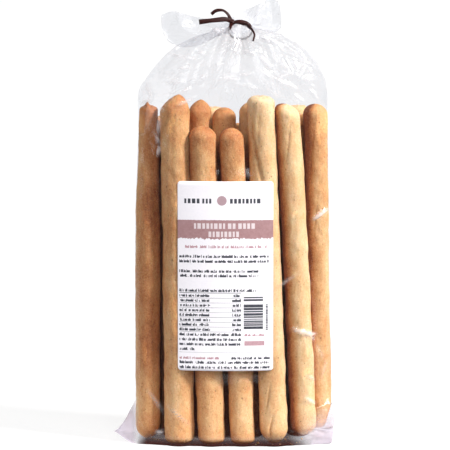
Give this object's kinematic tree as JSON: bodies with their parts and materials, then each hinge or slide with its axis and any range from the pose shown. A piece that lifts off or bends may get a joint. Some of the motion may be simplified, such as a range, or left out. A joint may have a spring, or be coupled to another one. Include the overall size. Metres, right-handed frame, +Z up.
{
  "type": "pack of grissini breadsticks",
  "caption": "Clear film bag that stands on a flat base, filled with upright thick grissini breadsticks, with a rounded paper label on the front and a dark ribbon tie round its gathered neck.",
  "frame": {"origin": "middle of the flat base that the pack stands on", "axes": "+Z up along the breadsticks to the tied neck, -Y out of the labelled front, +X to the right as seen from the front"},
  "size_m": [0.117, 0.047, 0.2346],
  "materials": {
    "bag": "golden baked crust seen through clear shiny film",
    "label": "smooth white label paper with a dusty pink band and small grey print marks",
    "tie": "dark brown ribbon with a low sheen"
  },
  "bodies": {
    "root": {"bag": "bag", "label": "label", "tie": "tie"}
  },
  "joints": []
}
